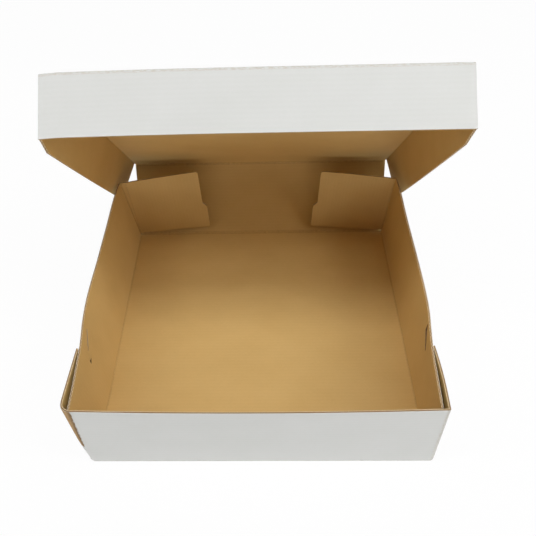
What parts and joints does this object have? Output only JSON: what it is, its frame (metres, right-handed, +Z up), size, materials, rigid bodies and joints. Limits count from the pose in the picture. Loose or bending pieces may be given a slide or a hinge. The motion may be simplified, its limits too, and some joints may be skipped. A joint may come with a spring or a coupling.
{
  "type": "pastry box",
  "caption": "Shallow square pastry box folded from white-lined kraft board, its overlapping lid with front and side flaps standing open on a back wall that leans back.",
  "frame": {"origin": "centre of the tray's underside, on the table", "axes": "+X to the right as seen from the front, -Y towards the front wall, +Y towards the lid's fold, +Z up"},
  "size_m": [0.286, 0.3042, 0.25],
  "materials": {
    "kraft_board": "matte",
    "white_board": "matte"
  },
  "bodies": {
    "tray": {"tray": "kraft_board"},
    "back_wall": {"back_wall": "kraft_board"},
    "lid": {"lid": "white_board"},
    "corner_flap_left": {"corner_flap_left": "kraft_board"},
    "corner_flap_right": {"corner_flap_right": "kraft_board"}
  },
  "joints": [
    {"name": "back_wall_fold", "type": "hinge", "parent": "tray", "child": "back_wall", "pos_m": [0, 0.12575, 0.00075], "axis": [-1, 0, 0], "range_deg": [-43.8, 46.2]},
    {"name": "lid_fold", "type": "hinge", "parent": "back_wall", "child": "lid", "pos_m": [0, 0.17697, 0.05416], "axis": [-1, 0, 0], "range_deg": [-5.2, 84.8]},
    {"name": "corner_flap_left_fold", "type": "hinge", "parent": "tray", "child": "corner_flap_left", "pos_m": [-0.12585, 0.1229, 0.00197], "axis": [0.0698, 0, -0.9976], "range_deg": [0, 85]},
    {"name": "corner_flap_right_fold", "type": "hinge", "parent": "tray", "child": "corner_flap_right", "pos_m": [0.12585, 0.1229, 0.00197], "axis": [0.061, 0, 0.9981], "range_deg": [0, 85]}
  ]
}
